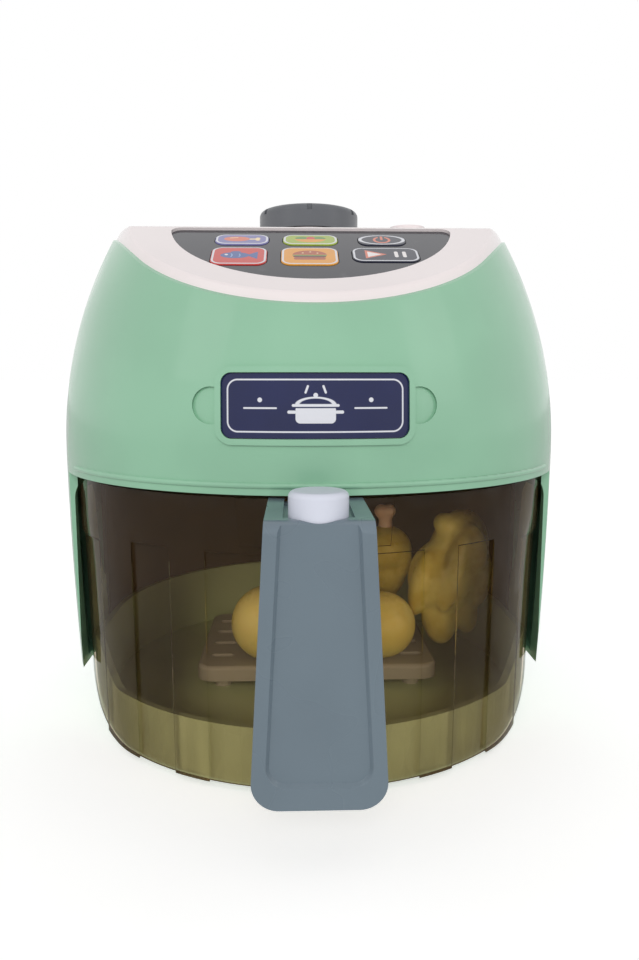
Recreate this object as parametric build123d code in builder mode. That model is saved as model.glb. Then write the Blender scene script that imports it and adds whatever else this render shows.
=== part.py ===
from build123d import *
import os
from math import sqrt, radians, sin, cos, tan

os.makedirs("parts", exist_ok=True)

# Housing: a barrel, widest at its belt, with the crown arc above it
body_r = 85.7
belt_z = 93.5
crown_arc = 143.0
waist_in = 1.4
waist_z = 31.5
wall = 2.4
seam_y = 20.0
wing_y = -33.0
hem_z = 20.0
hem_floor = 2.0
tub_top = 56.0
tub_corner = 24.0

# Rim of the housing in the side view: a slope at the front, level behind
panel_tilt = 29.5
rim_top = 163.1
brow_back = 2.5
brow_bend = 88.0

# Lid on that rim, and the plug that centres it
lid_inset = 0.9
lid_rise = 2.2
plateau_rise = 1.5
lid_edge = 1.3
plug_depth = 4.0
plug_wall = 2.0
plug_fit = 0.25

# Base under the housing
foot_h = 1.6
foot_r = 6.5
foot_ring_r = 58.0
floor_t = 2.2
floor_in = 10.1
ring_in = 8.3
ring_draft = 0.6
ring_wall = 2.2
rail_w = 4.0
rail_x = 44.0

# Drawer opening in the housing
mouth_in = 8.2
mouth_top = 87.0
mouth_corner = 8.8
bead_r = 0.8
bead_z = 89.6
bead_arc = 118.0

# Drawer front: a smoky window on a green frame
window_top_in = 3.2
window_low_in = 5.2
window_top = 85.8
window_low = 2.0
window_fit = 0.5
window_t = 1.9
window_top_corner = 8.0
window_low_corner = 20.0
frame_t = 2.6
frame_band = 2.6
frame_lap_z = 67.5
frame_show = 0.7
groove_depth = 0.9
groove_top = 70.2
middle_groove = 30.4
side_groove_in = 41.0
side_groove_out = 53.4
end_groove_edge = 10.8
end_groove_top = 67.4
patch_half = 21.4
patch_low_half = 20.4
patch_low = 72.5
patch_rise = 0.8

# Drawer tub
pan_in = 6.5
pan_wall = 2.0
pan_floor = 2.0
pan_gap = 0.3
pan_front_top = 19.4
pan_side_top = 31.0
pan_step_y = -48.0
pan_step_run = 12.0
pan_step_round = 6.0

# Dark bay round the drawer
bay_gap = 2.0
bay_wall = 1.6
bay_top = 89.6
bay_roof = 1.8

# Handle
handle_out = 31.3
grip_t = 16.0
handle_top = 86.2
handle_low = 18.5
handle_top_half = 12.4
handle_low_half = 16.2
handle_corner = 6.5
handle_chamfer = 3.0
neck_low = 73.0
neck_round = 7.0
channel_depth = 1.0
channel_rail = 3.2
channel_low = 5.4
channel_slope = 38.0
handle_skin = 2.4
cover_t = 2.0
cover_top = 64.0
cover_fit = 0.2
handle_screw_x = 7.0

# Release button in the handle's top
button_r = 7.0
button_in = 8.5
button_top = 92.0
button_low = 78.6
button_fit = 0.3
button_edge = 1.4
shelf_top = 74.4
shelf_t = 4.0
stem_r = 2.4
stem_fit = 0.2
stem_head_r = 3.0
stem_head_t = 1.6
spring_wire = 0.7
spring_r = 4.2
spring_turns = 3
spring_pocket = 3.0

# Name plate on the front of the housing
plate_z = 110.3
plate_half = 26.3
plate_tall = 20.3
plate_corner = 4.4
plate_border = 1.6
plate_proud = 0.8
plate_sink = 0.7
plate_label_t = 0.8
notch_r = 4.9
notch_deep = 0.9
notch_run = 6.2

# Control panel and its keys, along the slope of the lid
panel_in = 51.4
panel_r = 43.8
panel_back = 3.5
panel_corner = 3.0
panel_sink = 0.8
panel_t = 1.6
panel_fit = 0.15
tray_t = 1.6
tray_margin = 1.6
key_fit = 0.2
key_flange = 0.8
key_flange_gap = 0.1
key_proud = 0.3
key_corner = 3.2
mat_t = 1.2
mat_gap = 0.9
mat_half = 33.5
mat_low = -31.2
mat_high = -2.6
mat_rim = 1.0
mat_corner = 5.0
board_t = 1.6
board_half = 40.0
board_post_x = 36.8
board_post_r = 2.4
board_post_low = -27.0
board_post_high = -5.0
board_screw_len = 4.9

# Knob and its rotary switch
knob_ahead = 30.0
knob_r = 18.2
knob_tall = 8.0
knob_gap = 0.6
knob_edge = 2.0
knob_wall = 2.0
knob_notches = 6
notch_wide = 1.7
knob_notch_in = 1.2
knob_notch_tall = 2.4
collar_r = 20.5
collar_rise = 5.1
collar_bevel = 1.2
shaft_r = 3.0
shaft_fit = 0.05
switch_w = 18.0
switch_t = 8.0
clip_r = 5.2
clip_t = 0.8
clip_gap = 0.3

# Low pad on the lid beside the panel
pad_x = 31.5
pad_back = 7.3
pad_r = 5.7
pad_rise = 1.4

# Speaker under the back of the lid
speaker_in = 42.7
speaker_r = 15.0
speaker_t = 6.0
sound_hole_r = 1.1
sound_ring_r = 5.0

# Battery box behind a door in the back
cell_r = 7.2
cell_len = 50.0
cell_pitch = 15.6
cell_low_z = 108.0
cell_in = 27.2
cell_fit = 0.25
door_tab = 7.6
cell_nub_r = 2.6
cell_nub = 1.2
box_wall = 1.8
contact_t = 0.6
door_fit = 0.3
door_margin = 1.0

# Rack in the tub
rack_side_gap = 28.8
rack_x = 2.3
rack_d = 62.0
rack_y = 9.0
rack_top = 15.6
rack_t = 1.8
rack_lip = 5.4
rack_corner = 6.0
rack_slot = 8.5
rack_slot_w = 3.0
rack_slot_dx = 14.0
rack_slot_dy = 13.0
rack_leg_r = 3.0

# Play food, in lumps with round ends: place from the rack's right edge, turn, radius at each end,
# length between
tip_r = 0.6
foods = {
    "potato": [((-60.3, -15.0, 14.05), (0, 90, 0), 14.0, 12.0, 41.0)],
    "roast_chicken": [
        ((7.1, -5.0, 30.0), (0, 0, 0), 15.3, 13.0, 9.0),
        ((0.5, -5.9, 6.3), (0, 18.7, 0), 6.2, 7.6, 16.0),
        ((16.1, -7.0, 22.0), (0, -4, 0), 6.5, 7.2, 14.0),
    ],
    "drumstick": [
        ((-15.5, 12.0, 22.5), (0, 0, 0), 7.5, 10.5, 12.0),
        ((-15.5, 12.0, 3.3), (0, 0, 0), 3.2, 3.0, 45.0),
        ((-17.3, 12.0, 50.0), (0, 90, 0), 2.8, 2.8, 3.6),
    ],
}

# Screws
screw_r = 1.2
screw_head_r = 2.1
screw_head_t = 1.5
screw_fit = 0.15
case_screw_len = 12.0
case_post_in = 6.0
case_post_t = 3.4
case_post_w = 4.4

# Sizes that follow the housing's
waist_r = body_r - waist_in
floor_r = body_r - floor_in
ring_r = body_r - ring_in
mouth_half = body_r - mouth_in
window_top_r = body_r - window_top_in
window_low_r = body_r - window_low_in
window_half = mouth_half - window_fit
end_groove_in = window_half - end_groove_edge
pan_r = window_low_r - pan_in
bay_r = pan_r + bay_gap
handle_reach = body_r + handle_out
button_y = button_in - handle_reach
panel_y = panel_in - body_r
brow_y = panel_y + brow_back
pad_y = brow_y + pad_back
speaker_y = body_r - speaker_in
knob_y = speaker_y - knob_ahead
cell_y = body_r - cell_in
case_post_r = body_r - case_post_in
rack_w = 2 * (pan_r - pan_wall - rack_side_gap)
rack_edge = rack_x + rack_w / 2
# The body's axis stands behind the middle of the whole, because the handle reaches forward
body_y = (handle_reach - body_r) / 2
FLOOR = Plane(origin=(0, body_y, 0))
SIDE = Plane(origin=(0, body_y, 0), x_dir=(0, 1, 0), z_dir=(1, 0, 0))
FRONT = Plane(origin=(0, body_y, 0), x_dir=(1, 0, 0), z_dir=(0, -1, 0))
AXIS = Axis((0, body_y, 0), (0, 0, 1))

slope = tan(radians(panel_tilt))
waist_arc = ((belt_z - waist_z) ** 2 + (body_r - waist_r) ** 2) / (2 * (body_r - waist_r))
beyond = body_r * 1.3
lid_top = rim_top + plateau_rise
collar_top = lid_top + collar_rise
knob_low = collar_top + knob_gap
knob_top = knob_low + knob_tall
ceiling = knob_top * 1.2
slope_z = rim_top + lid_rise + (panel_y - brow_y) * slope
PANEL = Plane(
    origin=(0, body_y + panel_y, slope_z),
    x_dir=(1, 0, 0),
    z_dir=(0, -sin(radians(panel_tilt)), cos(radians(panel_tilt))),
)
panel_low = panel_sink + panel_t
tray_low = panel_low + tray_t
mat_top = tray_low + mat_gap
mat_bottom = mat_top + mat_t
board_bottom = mat_bottom + board_t
mat_mid = (mat_low + mat_high) / 2
floor_z = foot_h + floor_t
pan_z = floor_z + rail_w / 4 + pan_gap
rail_top = floor_z + rail_w / 4
pan_floor_z = pan_z + pan_floor

board_posts = [(x, y) for x in (-board_post_x, board_post_x) for y in (board_post_low, board_post_high)]


def window_r(z):
    """The window's outer radius at a height."""
    return window_low_r + (window_top_r - window_low_r) * (z - window_low) / (window_top - window_low)


handle_z = (window_top + patch_low) / 2
handle_seat_y = sqrt((window_r(handle_z) - window_t) ** 2 - handle_screw_x**2) - screw_head_r / 5
handle_spots = [(-handle_screw_x, handle_z), (handle_screw_x, handle_z)]
cover_spots = [(0, handle_low + handle_corner + handle_skin), (0, cover_top - handle_corner)]

# Keys: place along and up the panel, width and height
keys = {
    "key_roast": (-21.2, -8.8, 16.2, 8.4),
    "key_salad": (-0.5, -8.8, 16.6, 8.4),
    "key_power": (21.3, -8.8, 14.4, 8.4),
    "key_fish": (-21.4, -22.2, 16.2, 13.4),
    "key_bun": (-0.9, -22.2, 16.6, 13.4),
    "key_play": (21.4, -20.9, 19.6, 10.8),
}


def outer_r(z):
    """The housing's outer radius at a height."""
    rise = z - belt_z
    bend = crown_arc if rise > 0 else waist_arc
    return body_r - bend + sqrt(bend**2 - rise**2)


def flank(inset, low, high):
    """The housing's outline between two heights, drawn inset from its outer face."""
    levels = [low, belt_z, high] if low < belt_z < high else [low, high]
    for a, b in zip(levels, levels[1:]):
        ThreePointArc(*((outer_r(z) - inset, z) for z in (a, (a + b) / 2, b)))


def solid_section(inset, low, high):
    """Half the housing's section, filled to its axis."""
    with BuildLine() as edge:
        flank(inset, low, high)
        Polyline((outer_r(high) - inset, high), (0, high), (0, low), (outer_r(low) - inset, low))
    make_face(edge.edges())


def wall_section(inset, thick, low, high):
    """A wall of the housing's shape between two heights."""
    with BuildLine() as edge:
        flank(inset, low, high)
        Line((outer_r(high) - inset, high), (outer_r(high) - inset - thick, high))
        flank(inset + thick, low, high)
        Line((outer_r(low) - inset, low), (outer_r(low) - inset - thick, low))
    make_face(edge.edges())


def above_rim(front_rise, back_rise, bend):
    """The space above the rim in the side view, with the rim raised by these amounts."""
    top = rim_top + back_rise
    knee = brow_y + (back_rise - front_rise) / slope
    front_z = top - (beyond + knee) * slope
    with BuildLine() as edge:
        FilletPolyline((-beyond, front_z), (knee, top), (beyond, top), radius=bend)
        Polyline((beyond, top), (beyond, ceiling), (-beyond, ceiling), (-beyond, front_z))
    make_face(edge.edges())


def tub_side():
    """The lower moulding in the side view, with its rounded front corner."""
    with BuildLine() as edge:
        front = wing_y - screw_fit
        FilletPolyline(
            (front, -foot_h), (front, tub_top), (beyond, tub_top), radius=tub_corner
        )
        Polyline((beyond, tub_top), (beyond, -foot_h), (front, -foot_h))
    make_face(edge.edges())


def window_section(outer, inner):
    """A band between two offsets from the window's outer face, the full height of the drawer."""
    low, high = foot_h / 2, window_top + wall
    Polygon(
        (window_r(low) + inner, low), (window_r(low) + outer, low),
        (window_r(high) + outer, high), (window_r(high) + inner, high),
        align=None,
    )


def front_outline(half, low, high, top_corner, low_corner):
    """A rectangle seen from the front, with its own upper and lower corner radii."""
    with BuildLine() as edge:
        FilletPolyline(
            (-half, low), (half, low), (half, high), (-half, high),
            radius=[low_corner, low_corner, top_corner, top_corner], close=True,
        )
    make_face(edge.edges())


def panel_outline(inset):
    """The half-round control panel, its straight edge at the back."""
    with BuildLine() as edge:
        reach = panel_r - inset
        back = panel_back + inset
        half = sqrt(reach**2 - back**2)
        ThreePointArc((-half, -inset), (0, panel_back - reach), (half, -inset))
        Line((half, -inset), (-half, -inset))
    make_face(edge.edges())
    fillet(vertices(), radius=panel_corner)


def handle_half(z):
    """Half the handle's width at a height."""
    return handle_low_half - (handle_low_half - handle_top_half) * (z - handle_low) / (handle_top - handle_low)


def handle_front(inset, low, high):
    """The handle seen from the front between two heights, wider at its foot."""
    low_half, high_half = handle_half(low) - inset, handle_half(high) - inset
    with BuildLine() as edge:
        FilletPolyline(
            (-high_half, high), (-low_half, low), (low_half, low), (high_half, high),
            radius=handle_corner - inset / 2,
        )
        Line((high_half, high), (-high_half, high))
    make_face(edge.edges())


def handle_side(inset):
    """The handle seen from the side: a level neck and a hanging grip."""
    front = -handle_reach + inset
    top = handle_top - inset
    back = -handle_reach + grip_t
    with BuildLine() as edge:
        FilletPolyline(
            (front, handle_low), (front, top), (0, top), (0, neck_low), (back, neck_low),
            (back, handle_low),
            radius=[handle_chamfer, 0, 0, neck_round],
        )
        Line((back, handle_low), (front, handle_low))
    make_face(edge.edges())


def screw(plane, spots, length):
    """Pan-head screws, heads on the plane and shanks along its normal."""
    with BuildSketch(plane) as shank:
        with Locations(*spots):
            Circle(screw_r)
    extrude(shank.sketch, amount=length)
    with BuildSketch(plane) as head:
        with Locations(*spots):
            Circle(screw_head_r)
    extrude(head.sketch, amount=-screw_head_t)


# Front shell: the upper barrel ahead of the seam, with the drawer's mouth
with BuildPart() as skin:
    with BuildSketch(SIDE):
        wall_section(0, wall, hem_z, rim_top)
    revolve(axis=AXIS)
    with BuildSketch(SIDE):
        above_rim(0, 0, brow_bend)
    extrude(amount=beyond, both=True, mode=Mode.SUBTRACT)
    with BuildSketch(SIDE):
        tub_side()
    extrude(amount=beyond, both=True, mode=Mode.SUBTRACT)
    with BuildSketch(FRONT):
        with BuildLine() as mouth:
            FilletPolyline(
                (-mouth_half, -foot_h), (-mouth_half, mouth_top), (mouth_half, mouth_top),
                (mouth_half, -foot_h), radius=mouth_corner,
            )
            Line((mouth_half, -foot_h), (-mouth_half, -foot_h))
        make_face()
    extrude(amount=beyond, mode=Mode.SUBTRACT)
    with BuildSketch(FRONT.offset(-wing_y)):
        Rectangle(2 * beyond, 2 * mouth_top)
    extrude(amount=beyond, mode=Mode.SUBTRACT)

front_posts = [(case_post_r, 7.0), (case_post_r, 173.0)]
rear_posts = [(case_post_r, 50.0), (case_post_r, 130.0)]


def posts(spots):
    """Screw posts that hang from the upper wall down to the hem's ledge."""
    for radius, angle in spots:
        with BuildSketch(FLOOR.offset(hem_z + hem_floor)) as post:
            with PolarLocations(radius, 1, start_angle=angle):
                Rectangle(case_post_t, case_post_w)
        extrude(post.sketch, amount=tub_top - hem_z + case_screw_len)
        with BuildSketch(FLOOR.offset(tub_top + screw_fit)) as web:
            with PolarLocations(radius + case_post_w * 0.6, 1, start_angle=angle):
                Rectangle(case_post_w * 0.8, case_post_w * 0.8)
        extrude(web.sketch, amount=case_screw_len - hem_floor)


def post_holes(spots):
    """Holes for the case screws, up through the hem's ledge."""
    with BuildSketch(FLOOR.offset(hem_z - hem_floor)) as holes:
        for radius, angle in spots:
            with PolarLocations(radius, 1, start_angle=angle):
                Circle(screw_r)
    extrude(holes.sketch, amount=case_screw_len + 2 * hem_floor, mode=Mode.SUBTRACT)


# The bead over the mouth is a part of a ring, its ends square to the ring
BEAD = Plane(
    origin=(0, body_y, 0),
    x_dir=(-sin(radians(bead_arc / 2)), -cos(radians(bead_arc / 2)), 0),
    z_dir=(-cos(radians(bead_arc / 2)), sin(radians(bead_arc / 2)), 0),
)
with BuildPart() as bead:
    with BuildSketch(BEAD):
        with Locations((outer_r(bead_z), bead_z)):
            Circle(bead_r)
    revolve(axis=AXIS, revolution_arc=bead_arc)


def face_patch(rise, deep, half, tall, corner):
    """A rounded rectangle on the housing's front that follows its curve."""
    with BuildPart() as body:
        with BuildSketch(SIDE):
            wall_section(-rise, deep, belt_z, rim_top)
        revolve(axis=AXIS)
        with BuildSketch(FRONT):
            with Locations((0, plate_z)):
                RectangleRounded(2 * half, tall, corner)
        extrude(amount=beyond, mode=Mode.INTERSECT)
    return body.part


with BuildPart() as side_notches:
    with BuildSketch(FRONT):
        for side in (-1, 1):
            with Locations((side * (plate_half + notch_run - notch_r), plate_z)):
                Circle(notch_r)
    extrude(amount=beyond)
    with BuildSketch(SIDE):
        wall_section(-wall, wall + notch_deep, belt_z, rim_top - wall)
    revolve(axis=AXIS, mode=Mode.INTERSECT)

with BuildPart() as front_shell:
    add(skin.part)
    split(bisect_by=Plane(origin=(0, body_y + seam_y, 0), z_dir=(0, -1, 0)), keep=Keep.TOP)
    add(bead.part)
    add(side_notches.part, mode=Mode.SUBTRACT)
    add(face_patch(plate_proud, wall, plate_half, plate_tall, plate_corner))
    add(
        face_patch(
            plate_proud, plate_sink + plate_label_t, plate_half - plate_border,
            plate_tall - 2 * plate_border, plate_corner - plate_border,
        ),
        mode=Mode.SUBTRACT,
    )
    posts(front_posts)
    post_holes(front_posts)
front_shell.part.label = "front_shell"
export_step(front_shell.part, "parts/front_shell.step")

# Rear shell: the barrel behind the seam, with the battery door's opening
cell_box_half = cell_len / 2 + contact_t + 2 * cell_fit
door_low = cell_low_z - cell_r - door_tab
door_high = cell_low_z + 2 * cell_pitch + cell_r + cell_fit + door_margin
door_mid = (door_low + door_high) / 2
door_screw_z = door_low + door_tab / 2
door_seat = outer_r(door_screw_z) - screw_head_t - screw_fit
BACK = Plane(origin=(0, body_y, 0), x_dir=(-1, 0, 0), z_dir=(0, 1, 0))

with BuildPart() as rear_shell:
    add(skin.part)
    split(bisect_by=Plane(origin=(0, body_y + seam_y, 0), z_dir=(0, 1, 0)), keep=Keep.TOP)
    with BuildSketch(BACK):
        with Locations((0, door_mid)):
            RectangleRounded(2 * cell_box_half, door_high - door_low, door_margin * 3)
    extrude(amount=beyond, mode=Mode.SUBTRACT)
    posts(rear_posts)
    post_holes(rear_posts)
rear_shell.part.label = "rear_shell"
export_step(rear_shell.part, "parts/rear_shell.step")

# Battery door: a patch of the same skin, let into its opening
with BuildPart() as battery_door:
    with BuildSketch(SIDE):
        wall_section(0, wall, door_low, door_high)
    revolve(axis=AXIS)
    with BuildSketch(BACK):
        with Locations((0, door_mid)):
            RectangleRounded(
                2 * (cell_box_half - door_fit), door_high - door_low - 2 * door_fit,
                door_margin * 3 - door_fit,
            )
    extrude(amount=beyond, mode=Mode.INTERSECT)
    with BuildSketch(BACK):
        with Locations((0, door_screw_z)):
            Circle(screw_r + screw_fit)
    extrude(amount=beyond, mode=Mode.SUBTRACT)
    with BuildSketch(BACK.offset(door_seat)):
        with Locations((0, door_screw_z)):
            Circle(screw_head_r + screw_fit)
    extrude(amount=wall, mode=Mode.SUBTRACT)
battery_door.part.label = "battery_door"
export_step(battery_door.part, "parts/battery_door.step")

# Battery box: three open cradles on the bay's roof, closed by the back wall of the housing
box_back = cell_y - cell_r - cell_fit - box_wall
cell_heights = [cell_low_z + row * cell_pitch for row in range(3)]
with BuildPart() as battery_box:
    with BuildSketch(BACK.offset(box_back)):
        with Locations((0, (bay_top + bay_roof + door_high + box_wall) / 2)):
            Rectangle(2 * (cell_box_half + box_wall), door_high + box_wall - bay_top - bay_roof)
    extrude(amount=beyond)
    with BuildSketch(SIDE):
        solid_section(wall, bay_top, rim_top - wall)
    revolve(axis=AXIS, mode=Mode.INTERSECT)
    with BuildSketch(SIDE.offset(-cell_box_half)):
        for z in cell_heights:
            with Locations((cell_y, z)):
                Circle(cell_r + cell_fit)
            with Locations((cell_y + body_r / 2, z)):
                Rectangle(body_r, 2 * (cell_r + cell_fit))
    extrude(amount=2 * cell_box_half, mode=Mode.SUBTRACT)
    with BuildSketch(BACK):
        with Locations((0, door_screw_z)):
            Circle(screw_r)
    extrude(amount=beyond, mode=Mode.SUBTRACT)
battery_box.part.label = "battery_box"
export_step(battery_box.part, "parts/battery_box.step")

with BuildPart() as batteries:
    with BuildSketch(SIDE.offset(-cell_len / 2)):
        with Locations(*((cell_y, z) for z in cell_heights)):
            Circle(cell_r)
    extrude(amount=cell_len - cell_nub)
    with BuildSketch(SIDE.offset(cell_len / 2 - cell_nub)):
        with Locations(*((cell_y, z) for z in cell_heights)):
            Circle(cell_nub_r)
    extrude(amount=cell_nub)
batteries.part.label = "batteries"
export_step(batteries.part, "parts/batteries.step")

with BuildPart() as battery_contacts:
    for side in (-1, 1):
        with BuildSketch(SIDE.offset(side * (cell_len / 2 + cell_fit))):
            with Locations(*((cell_y, z) for z in cell_heights)):
                Rectangle(cell_r * 1.2, cell_r * 1.4)
        extrude(amount=side * contact_t)
battery_contacts.part.label = "battery_contacts"
export_step(battery_contacts.part, "parts/battery_contacts.step")

with BuildPart() as battery_door_screw:
    screw(FRONT.offset(-door_seat), [(0, door_screw_z)], case_screw_len)
battery_door_screw.part.label = "battery_door_screw"
export_step(battery_door_screw.part, "parts/battery_door_screw.step")

# Base tub: the lower moulding, its ledge stepping in to a ring and a floor
with BuildPart() as base_tub:
    with BuildSketch(SIDE):
        with BuildLine() as tub_edge:
            flank(0, hem_z, tub_top)
            flank(wall, hem_z + hem_floor, tub_top)
            Line((outer_r(tub_top), tub_top), (outer_r(tub_top) - wall, tub_top))
            Polyline(
                (outer_r(hem_z), hem_z), (ring_r, hem_z), (ring_r - ring_draft, foot_h),
                (0, foot_h), (0, floor_z), (ring_r - ring_draft - ring_wall, floor_z),
                (ring_r - ring_wall, hem_z + hem_floor),
                (outer_r(hem_z + hem_floor) - wall, hem_z + hem_floor),
            )
        make_face(tub_edge.edges())
    revolve(axis=AXIS)
    with BuildSketch(SIDE):
        tub_side()
        with Locations((0, hem_z / 2)):
            Rectangle(2 * ring_r, hem_z)
    extrude(amount=beyond, both=True, mode=Mode.INTERSECT)
    with BuildSketch(FLOOR.offset(floor_z)):
        Rectangle(2 * mouth_half, beyond, align=(Align.CENTER, Align.MAX))
    extrude(amount=mouth_top, mode=Mode.SUBTRACT)
    with BuildSketch(FLOOR):
        Rectangle(2 * mouth_half, beyond, align=(Align.CENTER, Align.MAX))
        Circle(floor_r, mode=Mode.SUBTRACT)
    extrude(amount=mouth_top, mode=Mode.SUBTRACT)
    with BuildSketch(FLOOR.offset(floor_z)):
        for side in (-1, 1):
            with Locations((side * rail_x, 0)):
                Rectangle(rail_w, 1.4 * floor_r)
    extrude(amount=rail_top - floor_z)
    with BuildSketch(FLOOR.offset(hem_z - hem_floor)):
        for radius, angle in front_posts + rear_posts:
            with PolarLocations(radius, 1, start_angle=angle):
                Circle(screw_r + screw_fit)
    extrude(amount=3 * hem_floor, mode=Mode.SUBTRACT)
base_tub.part.label = "base_tub"
export_step(base_tub.part, "parts/base_tub.step")

with BuildPart() as feet:
    with BuildSketch(FLOOR):
        with PolarLocations(foot_ring_r, 4, start_angle=45):
            Circle(foot_r)
    extrude(amount=foot_h)
    fillet(feet.edges().group_by(Axis.Z)[0], radius=foot_h / 3)
feet.part.label = "feet"
export_step(feet.part, "parts/feet.step")

with BuildPart() as case_screws:
    for radius, angle in front_posts + rear_posts:
        spot = (radius * cos(radians(angle)), radius * sin(radians(angle)))
        screw(FLOOR.offset(hem_z), [spot], case_screw_len)
case_screws.part.label = "case_screws"
export_step(case_screws.part, "parts/case_screws.step")

# Bay liner: a dark drum round the drawer, open at the front
with BuildPart() as bay_liner:
    with BuildSketch(FLOOR.offset(hem_z + hem_floor)):
        Circle(bay_r + bay_wall)
        Circle(bay_r, mode=Mode.SUBTRACT)
    extrude(amount=bay_top - hem_z - hem_floor)
    with BuildSketch(FLOOR.offset(hem_z)):
        Rectangle(2 * beyond, beyond, align=(Align.CENTER, Align.MAX))
    extrude(amount=bay_top - hem_z, mode=Mode.SUBTRACT)
    with BuildSketch(FLOOR.offset(bay_top)):
        Circle(outer_r(bay_top) - wall - plug_fit)
    extrude(amount=bay_roof)
bay_liner.part.label = "bay_liner"
export_step(bay_liner.part, "parts/bay_liner.step")

# Lid: slope and plateau over the rim, a plug inside it, a tray for the control panel
with BuildPart() as lid:
    with BuildSketch(SIDE):
        solid_section(lid_inset, belt_z, lid_top + lid_rise)
    revolve(axis=AXIS)
    with BuildSketch(SIDE):
        above_rim(0, 0, brow_bend)
    extrude(amount=beyond, both=True, mode=Mode.INTERSECT)
    with BuildSketch(SIDE):
        above_rim(lid_rise, plateau_rise, brow_bend / 20)
    extrude(amount=beyond, both=True, mode=Mode.SUBTRACT)
    lid_crown = lid.faces().filter_by(lambda face: face.normal_at().Z > cos(radians(panel_tilt)) * 0.95)
    fillet(lid_crown.edges().filter_by(GeomType.LINE, reverse=True), radius=lid_edge)
    # Plug: a low wall that drops inside the rim
    with BuildPart(mode=Mode.PRIVATE) as plug:
        with BuildSketch(SIDE):
            wall_section(wall + plug_fit, plug_wall, belt_z, lid_top)
        revolve(axis=AXIS)
        with BuildSketch(SIDE):
            above_rim(-plug_depth, -plug_depth, brow_bend)
        extrude(amount=beyond, both=True, mode=Mode.INTERSECT)
        with BuildSketch(SIDE):
            above_rim(0, 0, brow_bend)
        extrude(amount=beyond, both=True, mode=Mode.SUBTRACT)
    add(plug.part)
    # Tray under the control panel, then the pocket and the keys' openings
    with BuildPart(mode=Mode.PRIVATE) as tray:
        with BuildSketch(PANEL.offset(-tray_low)):
            panel_outline(-tray_margin)
        extrude(amount=tray_low - lid_rise / 2)
        with BuildSketch(SIDE):
            solid_section(wall + plug_fit, belt_z, lid_top)
        revolve(axis=AXIS, mode=Mode.INTERSECT)
    add(tray.part)
    with BuildSketch(PANEL.offset(-tray_low)):
        with Locations((0, mat_mid)):
            Rectangle(2 * (board_half + key_fit), mat_high - mat_low + 2 * key_fit)
    extrude(amount=-2 * tray_low, mode=Mode.SUBTRACT)
    with BuildSketch(PANEL.offset(-mat_bottom)):
        with Locations(*board_posts):
            Circle(board_post_r)
    extrude(amount=mat_bottom - tray_low / 2)
    with BuildSketch(PANEL):
        panel_outline(0)
    extrude(amount=-panel_low, mode=Mode.SUBTRACT)
    with BuildSketch(PANEL):
        for x, y, w, h in keys.values():
            with Locations((x, y)):
                RectangleRounded(
                    w + 2 * (key_flange + key_fit), h + 2 * (key_flange + key_fit), key_corner
                )
    extrude(amount=-2 * tray_low, mode=Mode.SUBTRACT)
    with BuildSketch(PANEL.offset(-mat_bottom)):
        with Locations(*board_posts):
            Circle(screw_r)
    extrude(amount=board_screw_len - board_t, mode=Mode.SUBTRACT)
    # Collar round the knob, its rim bevelled
    with BuildSketch(FLOOR.offset(rim_top)):
        with Locations((0, knob_y)):
            Circle(collar_r)
    extrude(amount=collar_top - rim_top)
    chamfer(lid.edges().group_by(Axis.Z)[-1], length=collar_bevel)
    with BuildSketch(FLOOR.offset(rim_top)):
        with Locations((pad_x, pad_y)):
            Circle(pad_r)
    extrude(amount=plateau_rise + pad_rise)
    with BuildSketch(FLOOR.offset(rim_top)):
        with Locations((0, knob_y)):
            Circle(shaft_r + shaft_fit)
    extrude(amount=collar_top - rim_top, mode=Mode.SUBTRACT)
    with BuildSketch(FLOOR.offset(rim_top)):
        with Locations((0, speaker_y)):
            Circle(sound_hole_r)
            with PolarLocations(sound_ring_r, 6):
                Circle(sound_hole_r)
            with PolarLocations(2 * sound_ring_r, 12):
                Circle(sound_hole_r)
    extrude(amount=plateau_rise, mode=Mode.SUBTRACT)
lid.part.label = "lid"
export_step(lid.part, "parts/lid.step")


# Control panel: a glossy half-round plate, pierced for its keys
with BuildPart() as control_panel:
    with BuildSketch(PANEL.offset(-panel_low)):
        panel_outline(panel_fit)
        for x, y, w, h in keys.values():
            with Locations((x, y)):
                RectangleRounded(
                    w + 2 * key_fit, h + 2 * key_fit, key_corner + key_fit, mode=Mode.SUBTRACT
                )
    extrude(amount=panel_t)
control_panel.part.label = "control_panel"
export_step(control_panel.part, "parts/control_panel.step")

for name, (x, y, w, h) in keys.items():
    with BuildPart() as key:
        with BuildSketch(PANEL.offset(-tray_low)):
            with Locations((x, y)):
                RectangleRounded(w + 2 * key_flange, h + 2 * key_flange, key_corner)
        extrude(amount=tray_t - key_flange_gap)
        with BuildSketch(PANEL.offset(-panel_low - key_flange_gap)):
            with Locations((x, y)):
                RectangleRounded(w, h, key_corner)
        extrude(amount=panel_t + key_flange_gap + key_proud)
        fillet(key.faces().sort_by(Axis.Z)[-1].edges(), radius=key_proud * 0.8)
    key.part.label = name
    export_step(key.part, f"parts/{name}.step")

# Rubber mat under the keys, its raised rim against the tray
with BuildPart() as key_mat:
    with BuildSketch(PANEL.offset(-mat_bottom)):
        with Locations((0, mat_mid)):
            RectangleRounded(2 * mat_half, mat_high - mat_low, mat_corner)
    extrude(amount=mat_t + mat_gap)
    with BuildSketch(PANEL.offset(-mat_top)):
        with Locations((0, mat_mid)):
            RectangleRounded(
                2 * (mat_half - mat_rim), mat_high - mat_low - 2 * mat_rim, mat_corner - mat_rim
            )
    extrude(amount=mat_gap, mode=Mode.SUBTRACT)
key_mat.part.label = "key_mat"
export_step(key_mat.part, "parts/key_mat.step")

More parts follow.
